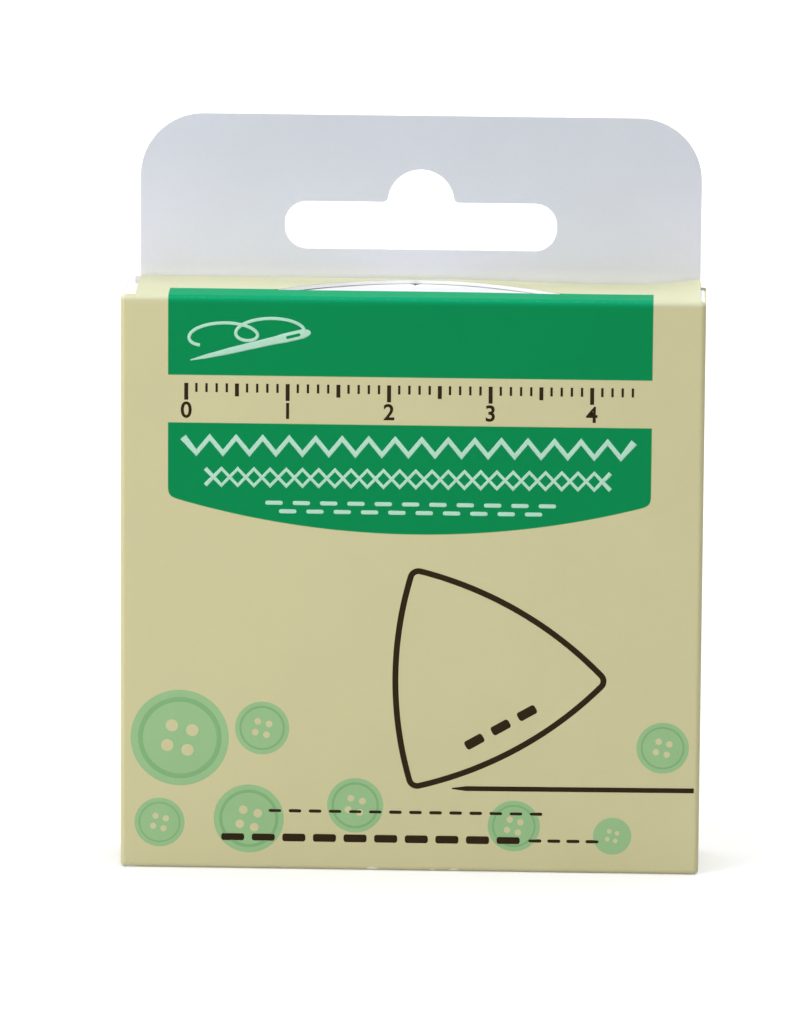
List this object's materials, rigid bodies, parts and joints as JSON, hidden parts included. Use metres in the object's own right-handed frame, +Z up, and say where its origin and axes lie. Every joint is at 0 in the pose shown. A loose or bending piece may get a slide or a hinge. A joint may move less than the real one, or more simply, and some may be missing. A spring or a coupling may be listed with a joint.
{
  "type": "tailor's chalk in hang-tab carton",
  "caption": "Flat folding carton with a slotted hang tab and tuck-in end closures, holding one bevelled triangular block of tailor's chalk.",
  "frame": {"origin": "centre of the carton's base, on the surface that it stands on", "axes": "+Z up towards the hang tab, -Y is the printed front, +X is to the right seen from the front"},
  "size_m": [0.0576, 0.01, 0.0747],
  "materials": {
    "printed_board": "satin",
    "white_board": "matte",
    "chalk": "matte"
  },
  "bodies": {
    "carton": {"front_panel": "printed_board", "back_panel": "white_board", "hang_tab": "white_board", "right_side_panel": "white_board", "left_side_panel": "white_board", "glue_flap": "white_board", "bottom_left_dust_flap": "white_board", "bottom_right_dust_flap": "white_board"},
    "top_lid": {"top_panel": "printed_board"},
    "top_tuck": {"top_tuck_flap": "white_board"},
    "bottom_lid": {"bottom_panel": "printed_board"},
    "bottom_tuck": {"bottom_tuck_flap": "white_board"},
    "top_left_flap": {"top_left_dust_flap": "white_board"},
    "top_right_flap": {"top_right_dust_flap": "white_board"},
    "chalk_block": {"chalk": "chalk"}
  },
  "joints": [
    {"name": "top_lid_crease", "type": "hinge", "parent": "carton", "child": "top_lid", "pos_m": [0, -0.005, 0.0582], "axis": [1, 0, 0], "range_deg": [0, 115]},
    {"name": "top_tuck_crease", "type": "hinge", "parent": "top_lid", "child": "top_tuck", "pos_m": [0, 0.0043, 0.0582], "axis": [1, 0, 0], "range_deg": [0, 17.25], "deforming": ["top_tuck_flap"]},
    {"name": "bottom_lid_crease", "type": "hinge", "parent": "carton", "child": "bottom_lid", "pos_m": [0, -0.005, 0], "axis": [-1, 0, 0], "range_deg": [0, 115]},
    {"name": "bottom_tuck_crease", "type": "hinge", "parent": "bottom_lid", "child": "bottom_tuck", "pos_m": [0, 0.0043, 0], "axis": [-1, 0, 0], "range_deg": [0, 17.25], "deforming": ["bottom_tuck_flap"]},
    {"name": "top_left_flap_crease", "type": "hinge", "parent": "carton", "child": "top_left_flap", "pos_m": [-0.0283, 0, 0.0572], "axis": [0, 1, 0], "range_deg": [0, 5], "stiffness_Nm_per_rad": 0.0002, "springref_deg": -28.65},
    {"name": "top_right_flap_crease", "type": "hinge", "parent": "carton", "child": "top_right_flap", "pos_m": [0.0283, 0, 0.0572], "axis": [0, -1, 0], "range_deg": [0, 5], "stiffness_Nm_per_rad": 0.0002, "springref_deg": -28.65},
    {"name": "chalk_lift", "type": "slide", "parent": "carton", "child": "chalk_block", "axis": [0, 0, 1], "range_m": [0, 0.003]}
  ],
  "couplings": [
    {"joint": "top_tuck_crease", "follows": "top_lid_crease", "ratio": 0.15},
    {"joint": "bottom_tuck_crease", "follows": "bottom_lid_crease", "ratio": 0.15}
  ]
}
